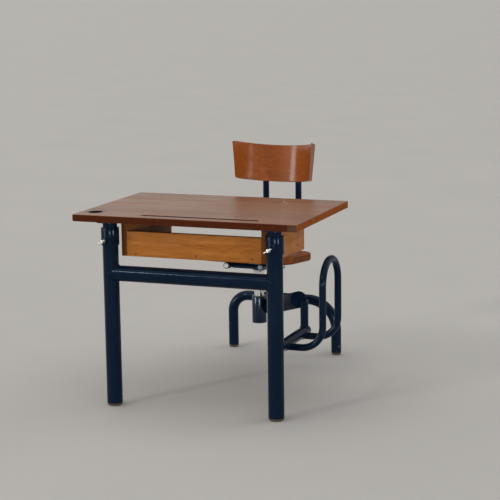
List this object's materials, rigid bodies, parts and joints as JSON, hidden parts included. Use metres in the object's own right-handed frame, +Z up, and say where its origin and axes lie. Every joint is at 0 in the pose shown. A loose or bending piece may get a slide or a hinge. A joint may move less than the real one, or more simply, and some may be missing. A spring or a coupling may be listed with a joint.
{
  "type": "school desk with attached seat",
  "caption": "Tubular steel school desk with a wooden top over an open book tray, a sliding wooden seat on a post joined to it, and a satchel hoop at the side.",
  "frame": {"origin": "on the floor below the centre of the whole object's box", "axes": "+Z up, +Y from the desk towards the seat, +X towards the satchel hoop"},
  "size_m": [0.779, 0.9318, 0.7705],
  "materials": {
    "blue_enamel": "gloss enamel, worn",
    "bright_steel": "plain, dulled",
    "top_wood": "varnished, worn",
    "tray_wood": "varnished",
    "seat_wood": "glossy varnish",
    "ply": "glossy varnish",
    "ivory_plug": "dull",
    "glide": "scuffed",
    "bush": "plain"
  },
  "bodies": {
    "frame": {"front_leg_glides": "glide", "rear_foot_glides": "glide", "left_leg": "blue_enamel", "right_leg": "blue_enamel", "left_leg_collar": "blue_enamel", "right_leg_collar": "blue_enamel", "leg_crossbar": "blue_enamel", "rear_arch": "blue_enamel", "post_sleeve": "blue_enamel", "clamp_boss": "blue_enamel", "lower_sleeve_bush": "bush", "upper_sleeve_bush": "bush", "pedestal_beam": "blue_enamel", "link_rail": "blue_enamel", "rail_end_cap": "blue_enamel", "link_arm": "blue_enamel", "arm_end_caps": "blue_enamel", "link_riser": "blue_enamel", "satchel_hoop": "blue_enamel"},
    "table": {"left_sliding_post": "blue_enamel", "right_sliding_post": "blue_enamel", "left_top_bracket": "blue_enamel", "right_top_bracket": "blue_enamel", "bracket_screws": "bright_steel", "desk_top": "top_wood", "tray_bottom": "tray_wood", "left_tray_side": "tray_wood", "right_tray_side": "tray_wood", "tray_front": "tray_wood", "tray_cleats": "tray_wood"},
    "seat": {"seat_post": "bright_steel", "seat_head": "blue_enamel", "left_seat_tube": "blue_enamel", "right_seat_tube": "blue_enamel", "seat_tube_plugs": "ivory_plug", "seat_tie_bar": "blue_enamel", "seat_panel": "seat_wood", "seat_screws": "bright_steel", "backrest": "ply", "backrest_screws": "bright_steel"},
    "left_screw": {"left_wing_screw": "bright_steel"},
    "right_screw": {"right_wing_screw": "bright_steel"},
    "clamp_screw": {"seat_clamp_screw": "bright_steel"}
  },
  "joints": [
    {"name": "table_height", "type": "slide", "parent": "frame", "child": "table", "axis": [0, 0, 1], "range_m": [-0.02, 0.14]},
    {"name": "seat_height", "type": "slide", "parent": "frame", "child": "seat", "axis": [0, 0, 1], "range_m": [-0.07, 0.03]},
    {"name": "left_screw_turn", "type": "hinge", "parent": "frame", "child": "left_screw", "pos_m": [-0.2935, -0.39538, 0.535], "axis": [-0.1045, -0.9945, 0], "range_deg": [0, 720]},
    {"name": "right_screw_turn", "type": "hinge", "parent": "frame", "child": "right_screw", "pos_m": [0.2545, -0.39538, 0.535], "axis": [-0.1045, -0.9945, 0], "range_deg": [0, 720]},
    {"name": "clamp_screw_turn", "type": "hinge", "parent": "frame", "child": "clamp_screw", "pos_m": [-0.0195, 0.18962, 0.228], "axis": [-0.5, 0.866, 0], "range_deg": [0, 720]}
  ]
}
